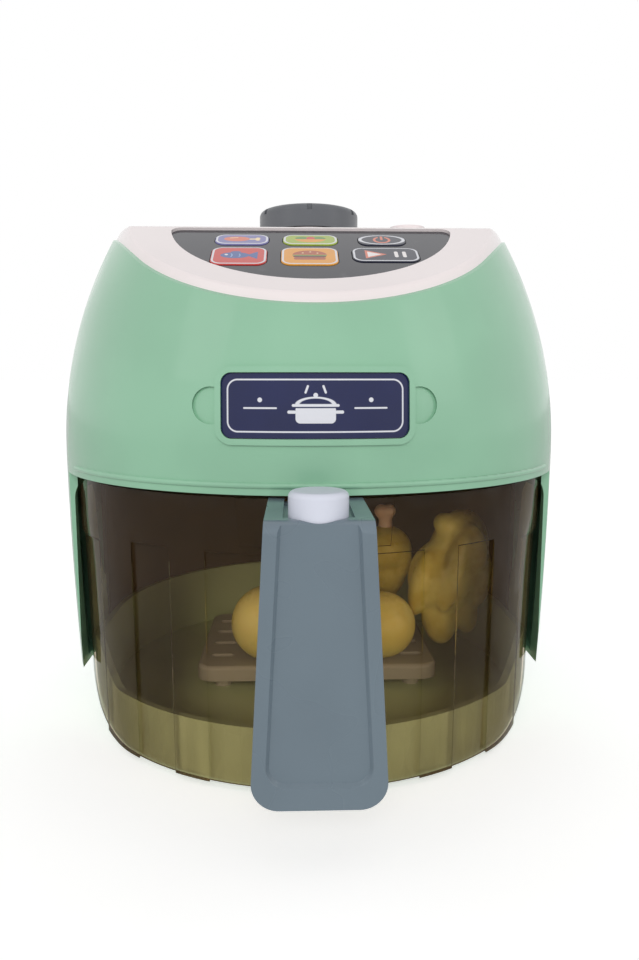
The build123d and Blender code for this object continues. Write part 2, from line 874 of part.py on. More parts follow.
with BuildPart() as main_board:
    with BuildSketch(PANEL.offset(-board_bottom)):
        with Locations((0, mat_mid)):
            Rectangle(2 * board_half, mat_high - mat_low)
        with Locations(*board_posts):
            Circle(screw_r + screw_fit, mode=Mode.SUBTRACT)
    extrude(amount=board_t)
main_board.part.label = "main_board"
export_step(main_board.part, "parts/main_board.step")

with BuildPart() as board_screws:
    screw(PANEL.offset(-board_bottom), board_posts, board_screw_len)
board_screws.part.label = "board_screws"
export_step(board_screws.part, "parts/board_screws.step")

# Knob: a hollow cap with notches round its top edge, on a plain shaft
KNOB = Plane(origin=(0, body_y + knob_y, 0))
with BuildPart() as knob:
    with BuildSketch(KNOB.offset(knob_low)):
        Circle(knob_r)
    extrude(amount=knob_top - knob_low)
    fillet(knob.edges().group_by(Axis.Z)[-1], radius=knob_edge)
    with BuildSketch(KNOB.offset(knob_low)):
        Circle(knob_r - knob_wall)
        Circle(2 * shaft_r, mode=Mode.SUBTRACT)
    extrude(amount=knob_top - knob_low - knob_wall * 1.2, mode=Mode.SUBTRACT)
    with BuildSketch(KNOB.offset(knob_low)):
        Circle(shaft_r)
    extrude(amount=knob_top - knob_low - knob_wall, mode=Mode.SUBTRACT)
    with BuildSketch(KNOB.offset(knob_top - knob_notch_tall)):
        with PolarLocations(knob_r, knob_notches, start_angle=30):
            Rectangle(2 * knob_notch_in, notch_wide)
    extrude(amount=knob_notch_tall, mode=Mode.SUBTRACT)
knob.part.label = "knob"
export_step(knob.part, "parts/knob.step")

switch_low = rim_top - switch_t
shaft_low = switch_low - 2 * clip_gap - clip_t
with BuildPart() as knob_shaft:
    with BuildSketch(KNOB.offset(shaft_low)):
        Circle(shaft_r)
    extrude(amount=knob_top - knob_wall - shaft_low)
    with BuildSketch(KNOB.offset(switch_low - clip_gap - clip_t)):
        Circle(2 * shaft_r)
        Circle(shaft_r - clip_t, mode=Mode.SUBTRACT)
    extrude(amount=clip_t, mode=Mode.SUBTRACT)
knob_shaft.part.label = "knob_shaft"
export_step(knob_shaft.part, "parts/knob_shaft.step")

with BuildPart() as shaft_clip:
    with BuildSketch(KNOB.offset(switch_low - clip_gap - clip_t)):
        Circle(clip_r)
        Circle(shaft_r - clip_t, mode=Mode.SUBTRACT)
        with Locations((0, clip_r)):
            Rectangle(shaft_r, 2 * clip_r, mode=Mode.SUBTRACT)
    extrude(amount=clip_t)
shaft_clip.part.label = "shaft_clip"
export_step(shaft_clip.part, "parts/shaft_clip.step")

with BuildPart() as rotary_switch:
    with BuildSketch(KNOB.offset(switch_low)):
        RectangleRounded(switch_w, switch_w, clip_t)
        Circle(shaft_r + shaft_fit, mode=Mode.SUBTRACT)
    extrude(amount=switch_t)
rotary_switch.part.label = "rotary_switch"
export_step(rotary_switch.part, "parts/rotary_switch.step")

with BuildPart() as speaker:
    with BuildSketch(FLOOR.offset(rim_top - speaker_t)):
        with Locations((0, speaker_y)):
            Circle(speaker_r)
    extrude(amount=speaker_t)
    chamfer(speaker.edges().group_by(Axis.Z)[0], length=speaker_t / 2)
speaker.part.label = "speaker"
export_step(speaker.part, "parts/speaker.step")

# Name plate: a bare curved label in the recess of its frame
with BuildPart() as name_plate:
    add(
        face_patch(
            plate_proud - plate_sink, plate_label_t, plate_half - plate_border - panel_fit,
            plate_tall - 2 * (plate_border + panel_fit), plate_corner - plate_border - panel_fit,
        )
    )
name_plate.part.label = "name_plate"
export_step(name_plate.part, "parts/name_plate.step")

# Drawer tub: low at the front behind the window, higher along its sides and back
def tub_body(inset, low):
    """The tub's filled shape, drawn in by a wall."""
    with BuildPart() as body:
        with BuildSketch(FLOOR.offset(low)):
            Circle(pan_r - inset)
            Rectangle(2 * (pan_r - inset), window_top_r, align=(Align.CENTER, Align.MAX))
        extrude(amount=window_top - low)
        with BuildSketch(SIDE):
            face = window_t + inset
            Polygon(
                (0, low), (window_r(low) - face, low),
                (window_r(window_top) - face, window_top), (0, window_top), align=None,
            )
        revolve(axis=AXIS, mode=Mode.INTERSECT)
    return body.part


with BuildPart() as drawer_pan:
    add(tub_body(0, pan_z))
    add(tub_body(pan_wall, pan_floor_z), mode=Mode.SUBTRACT)
    with BuildSketch(SIDE):
        with BuildLine() as step:
            FilletPolyline(
                (-beyond, pan_front_top), (pan_step_y, pan_front_top),
                (pan_step_y + pan_step_run, pan_side_top), (beyond, pan_side_top),
                radius=pan_step_round,
            )
            Polyline((beyond, pan_side_top), (beyond, ceiling), (-beyond, ceiling), (-beyond, pan_front_top))
        make_face(step.edges())
    extrude(amount=beyond, both=True, mode=Mode.SUBTRACT)
    # Frame that carries the window along its sides and foot
    with BuildPart(mode=Mode.PRIVATE) as frame:
        with BuildSketch(SIDE):
            window_section(-window_t, -window_t - frame_t)
        revolve(axis=AXIS)
        with BuildSketch(FRONT):
            front_outline(window_half, foot_h, window_top - window_t, window_top_corner, window_low_corner)
        extrude(amount=beyond, mode=Mode.INTERSECT)
        with BuildSketch(FRONT):
            front_outline(
                window_half - frame_band, pan_z + pan_floor / 2, ceiling,
                window_top_corner, window_low_corner - frame_band,
            )
        extrude(amount=beyond, mode=Mode.SUBTRACT)
    add(frame.part)
drawer_pan.part.label = "drawer_pan"
export_step(drawer_pan.part, "parts/drawer_pan.step")

# Window: a smoky shell with sunk grooves between proud ribs, and a patch for the handle
with BuildPart() as window:
    with BuildSketch(SIDE):
        window_section(0, -window_t)
    revolve(axis=AXIS)
    with BuildSketch(FRONT):
        front_outline(window_half, window_low, window_top, window_top_corner, window_low_corner)
        with Locations((0, frame_lap_z)):
            Rectangle(2 * beyond, 2 * beyond, align=(Align.CENTER, Align.MAX), mode=Mode.SUBTRACT)
        front_outline(
            window_half - frame_show, window_low, window_top,
            window_top_corner, window_low_corner - frame_show,
        )
    extrude(amount=beyond, mode=Mode.INTERSECT)
    with BuildPart(mode=Mode.PRIVATE) as grooves:
        with BuildSketch(SIDE):
            window_section(patch_rise, -groove_depth)
        revolve(axis=AXIS)
        with BuildSketch(FRONT):
            Rectangle(2 * middle_groove, groove_top, align=(Align.CENTER, Align.MIN))
            for side in (-1, 1):
                with Locations((side * (side_groove_in + side_groove_out) / 2, 0)):
                    Rectangle(
                        side_groove_out - side_groove_in, groove_top, align=(Align.CENTER, Align.MIN)
                    )
                with Locations((side * (end_groove_in + window_half) / 2, 0)):
                    Rectangle(
                        window_half - end_groove_in, end_groove_top, align=(Align.CENTER, Align.MIN)
                    )
        extrude(amount=beyond, mode=Mode.INTERSECT)
    add(grooves.part, mode=Mode.SUBTRACT)
    with BuildPart(mode=Mode.PRIVATE) as patch:
        with BuildSketch(SIDE):
            window_section(patch_rise, -window_t / 2)
        revolve(axis=AXIS)
        with BuildSketch(FRONT):
            Polygon(
                (-patch_low_half, patch_low), (patch_low_half, patch_low), (patch_half, window_top),
                (-patch_half, window_top), align=None,
            )
        extrude(amount=beyond, mode=Mode.INTERSECT)
    add(patch.part)
    with BuildSketch(FRONT):
        with Locations(*handle_spots):
            Circle(screw_r + screw_fit)
    extrude(amount=beyond, mode=Mode.SUBTRACT)
window.part.label = "window"
export_step(window.part, "parts/window.step")

# Handle: a level neck and a hanging grip, hollow behind a cover
shelf_low = shelf_top - shelf_t
cavity_y = handle_reach - grip_t + cover_t
with BuildPart() as handle:
    with BuildSketch(FRONT):
        handle_front(0, handle_low, handle_top + handle_chamfer)
    extrude(amount=handle_reach)
    with BuildSketch(SIDE):
        handle_side(0)
    extrude(amount=beyond, both=True, mode=Mode.INTERSECT)
    with BuildSketch(SIDE):
        Polygon(
            (0, 0), (window_r(0) + patch_rise, 0), (window_r(ceiling) + patch_rise, ceiling),
            (0, ceiling), align=None,
        )
    revolve(axis=AXIS, mode=Mode.SUBTRACT)
    # Shallow channel down the front between sloped rails, and on over the neck
    with BuildSketch(FRONT.offset(handle_reach)):
        handle_front(channel_rail, handle_low + channel_low, handle_top + handle_chamfer)
    extrude(amount=-channel_depth, taper=channel_slope, mode=Mode.SUBTRACT)
    with BuildPart(mode=Mode.PRIVATE) as channel:
        with BuildSketch(FRONT):
            handle_front(
                channel_rail + channel_depth, handle_top - 2 * handle_chamfer, handle_top + handle_chamfer
            )
        extrude(amount=beyond)
        with BuildSketch(SIDE):
            handle_side(channel_depth)
        extrude(amount=beyond, both=True, mode=Mode.SUBTRACT)
    add(channel.part, mode=Mode.SUBTRACT)
    with BuildSketch(FRONT.offset(cavity_y)):
        handle_front(handle_skin + cover_t / 2, handle_low + handle_skin + cover_t / 2, shelf_low)
    extrude(amount=grip_t - cover_t - handle_skin - channel_depth, mode=Mode.SUBTRACT)
    with BuildSketch(FRONT.offset(cavity_y - cover_t)):
        handle_front(handle_skin, handle_low + handle_skin, cover_top)
    extrude(amount=cover_t, mode=Mode.SUBTRACT)
    with BuildSketch(FRONT.offset(cavity_y)):
        with Locations(*cover_spots):
            Circle(2 * screw_r)
            Circle(screw_r, mode=Mode.SUBTRACT)
    extrude(amount=grip_t - cover_t - handle_skin)
    with BuildSketch(FLOOR.offset(shelf_top)):
        with Locations((0, button_y)):
            Circle(button_r + button_fit)
    extrude(amount=handle_top, mode=Mode.SUBTRACT)
    with BuildSketch(FLOOR.offset(shelf_low)):
        with Locations((0, button_y)):
            Circle(stem_r + stem_fit)
    extrude(amount=shelf_t, mode=Mode.SUBTRACT)
    with BuildSketch(FRONT):
        with Locations(*handle_spots):
            Circle(screw_r)
    extrude(amount=window_top_r + case_screw_len - window_t, mode=Mode.SUBTRACT)
handle.part.label = "handle"
export_step(handle.part, "parts/handle.step")

with BuildPart() as handle_screws:
    screw(FRONT.offset(handle_seat_y), handle_spots, case_screw_len)
handle_screws.part.label = "handle_screws"
export_step(handle_screws.part, "parts/handle_screws.step")

with BuildPart() as handle_cover:
    with BuildSketch(FRONT.offset(cavity_y - cover_t)):
        handle_front(
            handle_skin + cover_fit, handle_low + handle_skin + cover_fit, cover_top - cover_fit
        )
        with Locations(*cover_spots):
            Circle(screw_r + screw_fit, mode=Mode.SUBTRACT)
    extrude(amount=cover_t)
handle_cover.part.label = "handle_cover"
export_step(handle_cover.part, "parts/handle_cover.step")

with BuildPart() as cover_screws:
    screw(FRONT.offset(cavity_y - cover_t), cover_spots, grip_t / 2)
cover_screws.part.label = "cover_screws"
export_step(cover_screws.part, "parts/cover_screws.step")

# Release button: a cap on a stem that is caught under the shelf
BUTTON = Plane(origin=(0, body_y + button_y, 0))
with BuildPart() as release_button:
    with BuildSketch(BUTTON.offset(button_low)):
        Circle(button_r)
    extrude(amount=button_top - button_low)
    fillet(release_button.edges().group_by(Axis.Z)[-1], radius=button_edge)
    with BuildSketch(BUTTON.offset(button_low)):
        Circle(spring_r + spring_wire)
        Circle(stem_r, mode=Mode.SUBTRACT)
    extrude(amount=spring_pocket, mode=Mode.SUBTRACT)
    with BuildSketch(BUTTON.offset(shelf_low - stem_fit)):
        Circle(stem_r)
    extrude(amount=button_low - shelf_low + stem_fit)
    with BuildSketch(BUTTON.offset(shelf_low - stem_fit - stem_head_t)):
        Circle(stem_head_r)
    extrude(amount=stem_head_t)
release_button.part.label = "release_button"
export_step(release_button.part, "parts/release_button.step")

spring_low = shelf_top + spring_wire / 2
spring_high = button_low + spring_pocket - spring_wire / 2
with BuildPart() as button_spring:
    with BuildLine():
        coil = Helix(
            pitch=(spring_high - spring_low) / spring_turns, height=spring_high - spring_low,
            radius=spring_r, center=(0, body_y + button_y, spring_low),
        )
    with BuildSketch(Plane(origin=coil @ 0, z_dir=coil % 0)):
        Circle(spring_wire / 2)
    sweep()
button_spring.part.label = "button_spring"
export_step(button_spring.part, "parts/button_spring.step")

# Rack: a slotted plate with a turned-down lip, on four legs
with BuildPart() as rack:
    with BuildSketch(FLOOR.offset(rack_top - rack_lip)):
        with Locations((rack_x, rack_y)):
            RectangleRounded(rack_w, rack_d, rack_corner)
    extrude(amount=rack_lip)
    fillet(rack.edges().group_by(Axis.Z)[-1], radius=rack_t * 0.8)
    with BuildSketch(FLOOR.offset(rack_top - rack_lip)):
        with Locations((rack_x, rack_y)):
            RectangleRounded(rack_w - 2 * rack_t, rack_d - 2 * rack_t, rack_corner - rack_t)
    extrude(amount=rack_lip - rack_t, mode=Mode.SUBTRACT)
    with BuildSketch(FLOOR.offset(rack_top - rack_t)):
        with Locations((rack_x, rack_y)):
            with GridLocations(rack_slot_dx, rack_slot_dy, 6, 4):
                SlotOverall(rack_slot, rack_slot_w)
    extrude(amount=rack_t, mode=Mode.SUBTRACT)
    with BuildSketch(FLOOR.offset(pan_floor_z)):
        with Locations((rack_x, rack_y)):
            with GridLocations(rack_w - 3 * rack_corner, rack_d - 2 * rack_corner, 2, 2):
                Circle(rack_leg_r)
    extrude(amount=rack_top - rack_t - pan_floor_z)
rack.part.label = "rack"
export_step(rack.part, "parts/rack.step")

# Play food on the rack: a potato, a roast chicken and a drumstick
def lump(low_r, high_r, length):
    """Two balls on Z and the cone between them, with a small flat at each end."""
    lean = (low_r - high_r) / length
    along = sqrt(1 - lean**2)
    low_z = -sqrt(low_r**2 - tip_r**2)
    high_z = length + sqrt(high_r**2 - tip_r**2)
    with BuildPart() as body:
        with BuildSketch(Plane.XZ):
            with BuildLine() as edge:
                ThreePointArc(
                    (tip_r, low_z),
                    (low_r * sqrt((1 + lean) / 2), -low_r * sqrt((1 - lean) / 2)),
                    (low_r * along, low_r * lean),
                )
                Line((low_r * along, low_r * lean), (high_r * along, length + high_r * lean))
                ThreePointArc(
                    (high_r * along, length + high_r * lean),
                    (high_r * sqrt((1 - lean) / 2), length + high_r * sqrt((1 + lean) / 2)),
                    (tip_r, high_z),
                )
                Polyline((tip_r, high_z), (0, high_z), (0, low_z), (tip_r, low_z))
            make_face(edge.edges())
        revolve(axis=Axis.Z)
    return body.part


for name, lumps in foods.items():
    with BuildPart() as food:
        for place, turn, low_r, high_r, length in lumps:
            with Locations(FLOOR.offset(rack_top).location * Pos(rack_edge, 0, 0) * Location(place, turn)):
                add(lump(low_r, high_r, length))
    food.part.label = name
    export_step(food.part, f"parts/{name}.step")
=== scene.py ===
"""Finishes and play food for the toy air fryer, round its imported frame."""
from math import radians

import bmesh
import bpy
from bpy.props import FloatProperty, FloatVectorProperty, PointerProperty
from mathutils import Euler, Matrix, Vector


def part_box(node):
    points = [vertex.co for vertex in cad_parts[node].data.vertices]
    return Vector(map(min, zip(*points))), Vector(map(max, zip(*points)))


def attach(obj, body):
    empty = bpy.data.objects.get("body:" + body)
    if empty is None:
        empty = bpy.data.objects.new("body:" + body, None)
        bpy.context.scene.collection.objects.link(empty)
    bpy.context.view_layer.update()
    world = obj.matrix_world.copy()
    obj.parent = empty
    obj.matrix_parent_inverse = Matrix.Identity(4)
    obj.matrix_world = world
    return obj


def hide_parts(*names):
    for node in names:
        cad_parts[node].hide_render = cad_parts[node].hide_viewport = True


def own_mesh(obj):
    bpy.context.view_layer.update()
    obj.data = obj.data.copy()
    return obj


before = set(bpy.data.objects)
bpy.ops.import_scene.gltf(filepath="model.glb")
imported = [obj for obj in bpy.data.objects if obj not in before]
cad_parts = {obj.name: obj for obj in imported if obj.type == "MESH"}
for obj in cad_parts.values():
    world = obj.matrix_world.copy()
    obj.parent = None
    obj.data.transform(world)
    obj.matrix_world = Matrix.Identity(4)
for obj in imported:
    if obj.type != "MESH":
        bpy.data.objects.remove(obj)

bl_info = {
    "name": "Toy Air Fryer",
    "version": (1, 0, 0),
    "blender": (4, 5, 0),
    "location": "3D View > Sidebar > Air Fryer",
    "description": "Finishes and play food for a toy air fryer",
    "category": "Object",
}

MM = 0.001
PANEL_TILT = radians(29.5)

# The window's outer face is a cone round the housing's axis, with the handle's patch raised on it.
AXIS_Y = 0.01565
WINDOW_LEAN = 0.002
PATCH_RISE = 0.0008
# What lies deeper than this under it is the inner face, and the tint fades out over this width.
INNER_DEPTH = 0.00145
FACE_BLUR = 0.00025

# An ink's edge fades over one part in this many of a millimetre.
INK_SHARPNESS = 8.0

# A Mix node has sockets for each kind of data. These are the share's and the two colours'.
COLOUR_MIX_INPUTS = (0, 6, 7)
COLOUR_MIX_OUTPUT = 2

# How far apart the loose triangles of a CAD node may lie and still be joined at their corners.
JOIN_GAP = MM / 200

WARM_WHITE = (1.0, 0.985, 0.96)
LAMP_AIM = Vector((0, 0, 0.09))
FLOOR_LIFT = 0.42


def shade(red, green, blue):
    """A colour given as a screen's levels of 0 to 255, in the linear levels that light adds up in."""
    levels = [value / 255 for value in (red, green, blue)]
    return tuple(v / 12.92 if v <= 0.04045 else ((v + 0.055) / 1.055) ** 2.4 for v in levels)


def colour_prop(name, description, levels):
    return FloatVectorProperty(
        name=name, description=description, subtype="COLOR", size=3, min=0, max=1, default=shade(*levels)
    )


class FryerColours(bpy.types.PropertyGroup):
    """The plastics' and inks' colours."""

    housing: colour_prop("Housing", "The barrel, the tub and the battery door", (141, 190, 160))
    pan: colour_prop("Pan", "The drawer's pan", (200, 222, 186))
    lid: colour_prop("Lid", "The lid and the battery box", (240, 231, 232))
    # The button's colour is painted shade: a darker, bluer copy of the lid's white, as the button looks in
    # shade.
    button: colour_prop("Button", "The release button", (216, 220, 234))
    panel: colour_prop("Panel", "The key panel's gloss", (16, 16, 34))
    label: colour_prop("Label", "The name plate's ground", (18, 27, 74))
    ink: colour_prop("Ink", "The pale lines of the name plate and the keys", (222, 224, 232))
    handle: colour_prop("Handle", "The handle and its cover", (106, 121, 132))
    knob: colour_prop("Knob", "The turning knob", (96, 99, 104))
    # The drum is a real part, and its dark brown is painted shade: it stands in for the shade inside the
    # bay.
    liner: colour_prop("Liner", "The drum round the drawer", (84, 76, 58))
    smoke: colour_prop("Smoke", "What the window lets through at each face", (249, 233, 209))
    haze: colour_prop("Haze", "The window's own brown", (112, 86, 60))
    rack: colour_prop("Rack", "The slotted rack", (178, 180, 180))
    potato: colour_prop("Potato", "The play potato", (250, 240, 150))
    roast: colour_prop("Roast", "The play chicken and drumstick", (232, 222, 124))
    bone: colour_prop("Bone", "The drumstick's bone", (236, 206, 190))


class FryerFinish(bpy.types.PropertyGroup):
    """How the plastics take the light."""

    gloss: FloatProperty(
        name="Gloss", description="Roughness of the polished mouldings", subtype="FACTOR", min=0, max=1,
        default=0.2,
    )
    satin: FloatProperty(
        name="Satin", description="Roughness of the satin mouldings", subtype="FACTOR", min=0, max=1,
        default=0.36,
    )
    ripple: FloatProperty(
        name="Ripple", description="Depth of the slow waves in a polished moulding", subtype="DISTANCE",
        unit="LENGTH", min=0, default=0.00012,
    )
    haze_share: FloatProperty(
        name="Haze share", description="How much of the window's face is its own brown", subtype="FACTOR",
        min=0, max=1, default=0.08,
    )
    food_grain: FloatProperty(
        name="Food grain", description="Voxel size of the play food", subtype="DISTANCE", unit="LENGTH",
        min=0.0002, default=0.00075,
    )


class FryerStage(bpy.types.PropertyGroup):
    """The floor, the lamps and the camera."""

    floor_half: FloatProperty(
        name="Floor half width", description="Half the floor's side", subtype="DISTANCE", unit="LENGTH",
        default=30.0,
    )
    sky: FloatProperty(
        name="Sky", description="Strength of the soft light from all round", min=0, default=0.46
    )
    sun: FloatProperty(name="Sun", description="Strength of the broad lamp in front", min=0, default=1.4)
    box_power: FloatProperty(
        name="Soft box", description="Power of each soft box", subtype="POWER", unit="POWER", min=0,
        default=0.22,
    )
    camera_place: FloatVectorProperty(
        name="Camera place", description="Where the camera stands", subtype="TRANSLATION", unit="LENGTH",
        size=3, default=(-0.00511, -0.26233, 0.1175),
    )
    camera_turn: FloatVectorProperty(
        name="Camera turn", description="How the camera is turned", subtype="EULER", unit="ROTATION",
        size=3, default=(radians(82.22), 0, radians(-1.8)),
    )
    camera_lens: FloatProperty(
        name="Lens", description="Focal length in millimetres on a 36 mm sensor", unit="CAMERA",
        default=28.125,
    )


class Reading:
    """A number that a material works out at each point of a surface."""

    def __init__(self, nodes, socket):
        self.nodes = nodes
        self.socket = socket

    def run(self, operation, *others, clamp=False):
        node = self.nodes.add("ShaderNodeMath", operation=operation, use_clamp=clamp)
        for socket, value in zip(node.inputs, (self, *others)):
            self.nodes.join(socket, value)
        return Reading(self.nodes, node.outputs[0])

    def __add__(self, other):
        return self.run("ADD", other)

    def __sub__(self, other):
        return self.run("SUBTRACT", other)

    def __mul__(self, other):
        return self.run("MULTIPLY", other)

    def __abs__(self):
        return self.run("ABSOLUTE")

    def least(self, other):
        return self.run("MINIMUM", other)

    def most(self, other):
        return self.run("MAXIMUM", other)

    def share(self):
        """The number, kept between 0 and 1."""
        return self.run("ADD", 0.0, clamp=True)


class Nodes:
    """The nodes of a material or a world, with short ways to add and join them."""

    def __init__(self, owner):
        owner.use_nodes = True
        self.tree = owner.node_tree
        self.tree.nodes.clear()

    def add(self, kind, inputs=None, **settings):
        node = self.tree.nodes.new(kind)
        for name, value in settings.items():
            setattr(node, name, value)
        for name, value in (inputs or {}).items():
            self.join(node.inputs[name], value)
        return node

    def join(self, socket, value):
        """Gives a socket a fixed value, or another node's output."""
        if isinstance(value, Reading):
            value = value.socket
        if isinstance(value, bpy.types.NodeSocket):
            self.tree.links.new(value, socket)
        elif socket.type == "RGBA" and len(value) == 3:
            socket.default_value = (*value, 1)
        else:
            socket.default_value = value


class Finish(Nodes):
    """A material in the making."""

    def __init__(self, name):
        self.material = bpy.data.materials.new(name)
        super().__init__(self.material)
        self.place = self.add("ShaderNodeTexCoord").outputs["Object"]

    def noise(self, size, detail=2.0, stretch=(1, 1, 1)):
        """Cloudy noise of 0 to 1 whose blotches have about this size in metres."""
        vector = self.add("ShaderNodeMapping", {"Vector": self.place, "Scale": stretch})
        node = self.add(
            "ShaderNodeTexNoise", {"Vector": vector.outputs[0], "Scale": 1 / size, "Detail": detail}
        )
        return Reading(self, node.outputs["Fac"])

    def spread(self, reading, low, high, start=0.25, end=0.75):
        """Stretches the middle of a reading over another range, without a hard stop at its ends."""
        node = self.add(
            "ShaderNodeMapRange",
            {"Value": reading, "From Min": start, "From Max": end, "To Min": low, "To Max": high},
            interpolation_type="SMOOTHERSTEP",
        )
        return Reading(self, node.outputs[0])

    def between(self, share, low, high):
        """A colour between two."""
        node = self.add("ShaderNodeMix", data_type="RGBA")
        for index, value in zip(COLOUR_MIX_INPUTS, (share, low, high)):
            self.join(node.inputs[index], value)
        return node.outputs[COLOUR_MIX_OUTPUT]

    def mottle(self, colour, size, depth):
        """The colour, with slow clouds a little darker and lighter than it."""
        dark = tuple(v * (1 - depth) for v in colour)
        pale = tuple(min(v * (1 + depth), 1) for v in colour)
        return self.between(self.spread(self.noise(size), 0, 1), dark, pale)

    def flat_place(self, centre, tilt=0.0, upright=False):
        """Readings of x and y in millimetres on a printed face, from its centre."""
        turn = (radians(90) if upright else tilt, 0, 0)
        node = self.add(
            "ShaderNodeMapping",
            {"Vector": self.place, "Location": centre, "Rotation": turn, "Scale": (MM, MM, MM)},
            vector_type="TEXTURE",
        )
        parts = self.add("ShaderNodeSeparateXYZ", {"Vector": node.outputs[0]})
        return Reading(self, parts.outputs["X"]), Reading(self, parts.outputs["Y"])

    def printed(self, ground, inks):
        """Prints inks on a ground: each is the distance to a shape's edge in millimetres, and a colour."""
        for edge, ink in inks:
            ground = self.between((edge * -INK_SHARPNESS + 0.5).share(), ground, ink)
        return ground

    def bump(self, height, depth):
        """Hollows and rises of this depth in metres, where the height goes from 0 to 1."""
        return self.add("ShaderNodeBump", {"Height": height, "Distance": depth}).outputs["Normal"]

    def blend(self, share, first, second):
        """One shader over another."""
        node = self.add("ShaderNodeMixShader", {"Fac": share})
        self.join(node.inputs[1], first)
        self.join(node.inputs[2], second)
        return node.outputs[0]

    def skin(self, colour, roughness, normal=None, **sockets):
        """The surface itself. A socket's name is given with underscores for its spaces."""
        shader = self.add("ShaderNodeBsdfPrincipled", {"Base Color": colour, "Roughness": roughness})
        for name, value in sockets.items():
            shader.inputs[name.replace("_", " ")].default_value = value
        if normal:
            self.join(shader.inputs["Normal"], normal)
        return shader.outputs[0]

    def done(self, shader):
        """The finished material."""
        self.add("ShaderNodeOutputMaterial", {"Surface": shader})
        return self.material


def reach(x, y):
    """How far a place is from the centre."""
    return (x * x + y * y).run("SQRT")


def disc(x, y, at, radius):
    return reach(x - at[0], y - at[1]) - radius


def oval(x, y, at, half):
    return (reach((x - at[0]) * (1 / half[0]), (y - at[1]) * (1 / half[1])) - 1.0) * min(half)


def block(x, y, at, half, corner):
    """A rectangle with round corners."""
    over_x = abs(x - at[0]) - (half[0] - corner)
    over_y = abs(y - at[1]) - (half[1] - corner)
    return reach(over_x.most(0.0), over_y.most(0.0)) + over_x.most(over_y).least(0.0) - corner


def stroke(x, y, start, end, radius):
    """A line with round ends."""
    run = (end[0] - start[0], end[1] - start[1])
    size = run[0] ** 2 + run[1] ** 2
    from_x, from_y = x - start[0], y - start[1]
    along = ((from_x * run[0] + from_y * run[1]) * (1 / size)).share()
    return reach(from_x - along * run[0], from_y - along * run[1]) - radius


def line(edge, width):
    """The line that follows a shape's edge."""
    return abs(edge) - width / 2


def joined(shape, *others):
    """Several shapes as one."""
    for other in others:
        shape = shape.least(other)
    return shape


def moulding(name, colour, roughness, ripple=0.0, grain=0.000004, coat=0.0, cloud=0.035):
    """Moulded plastic: slow waves, a fine skin, and rubbed and polished spots."""
    finish = Finish(name)
    rubbed = finish.spread(finish.noise(0.018, 1), roughness * 0.8, roughness * 1.3)
    height = finish.noise(0.022) * ripple + finish.noise(0.0007, 1) * grain
    return finish.done(
        finish.skin(
            finish.mottle(colour, 0.03, cloud), rubbed, finish.bump(height, 1.0), Coat_Weight=coat,
            Coat_Roughness=0.08,
        )
    )


def satin_metal(name, colour, roughness=0.3):
    """Plated steel with fine turning marks."""
    finish = Finish(name)
    marks = finish.noise(0.0004, 2, (1, 1, 6))
    return finish.done(
        finish.skin(
            finish.mottle(colour, 0.004, 0.12), finish.spread(marks, roughness * 0.7, roughness * 1.4),
            finish.bump(marks, 0.00001), Metallic=1.0,
        )
    )


def smoked(name, tint, haze, haze_share):
    """Smoked clear plastic, whose outer face tints what lies behind, shines at a slant and is smeared."""
    finish = Finish(name)
    outside = window_face(finish)
    smear = finish.spread(finish.noise(0.035, 3, (1, 1, 0.5)), 0.0, 0.03)
    slant = finish.add("ShaderNodeFresnel", {"IOR": 1.49}).outputs[0]
    body = (Reading(finish, slant) + smear + haze_share).share() * outside
    filter_colour = finish.between(outside, (1, 1, 1), finish.mottle(tint, 0.04, 0.03))
    clear = finish.add("ShaderNodeBsdfTransparent", {"Color": filter_colour})
    gloss = finish.skin(
        finish.mottle(haze, 0.02, 0.1), finish.spread(finish.noise(0.02), 0.05, 0.13),
        finish.bump(finish.noise(0.03), 0.00008), Coat_Weight=1.0, Coat_Roughness=0.04,
    )
    return finish.done(finish.blend(body, clear.outputs[0], gloss))


def window_face(finish):
    """1 on the window's outer face and 0 on its inner one, by the distance from the housing's axis."""
    low, high = corners("window")
    parts = finish.add("ShaderNodeSeparateXYZ", {"Vector": finish.place})
    x, y, z = (Reading(finish, parts.outputs[name]) for name in "XYZ")
    outer = (z - low.z) * (WINDOW_LEAN / (high.z - low.z)) + (AXIS_Y - low.y - PATCH_RISE - WINDOW_LEAN)
    depth = reach(x, y - AXIS_Y) - outer + INNER_DEPTH
    return (depth * (1 / FACE_BLUR) + 0.5).share()


def vinyl(name, colour, low, high, dent=0.0006):
    """Soft moulded play food: browned in patches, dimpled and waxy."""
    finish = Finish(name)
    patches = finish.spread(finish.noise(0.012, 4), 0, 1, 0.38, 0.66)
    ground = finish.between(patches, low, high)
    colouring = finish.between(finish.spread(finish.noise(0.004, 3), 0, 0.4), ground, colour)
    skin_height = finish.noise(0.006, 3) * dent + finish.noise(0.0011, 2) * (dent * 0.12)
    return finish.done(
        finish.skin(
            colouring, finish.spread(finish.noise(0.008, 3), 0.26, 0.42), finish.bump(skin_height, 1.0),
            Subsurface_Weight=0.08, Subsurface_Scale=0.004, Coat_Weight=0.25, Coat_Roughness=0.2,
        )
    )


def dress(material, slot, *nodes):
    """Gives CAD nodes a finish."""
    for name in nodes:
        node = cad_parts[name]
        node.data.materials.clear()
        node.data.materials.append(material)


def soften(width, *nodes):
    """Rounds the sharp edges of CAD nodes a little, so that they catch the light."""
    for name in nodes:
        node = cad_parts[name]
        weld = node.modifiers.new("Joined corners", "WELD")
        weld.merge_threshold = JOIN_GAP
        bevel = node.modifiers.new("Soft edges", "BEVEL")
        bevel.width = width
        bevel.segments = 3
        bevel.limit_method = "ANGLE"
        bevel.angle_limit = radians(35)
        bevel.harden_normals = True


def corners(node):
    """The low and high corners of a CAD node's box."""
    return [Vector(corner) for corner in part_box(node)]


def middle(node):
    """The middle of a CAD node's box."""
    low, high = corners(node)
    return (low + high) / 2


def colours():
    return bpy.context.scene.fryer_colours


def finishes():
    return bpy.context.scene.fryer_finish


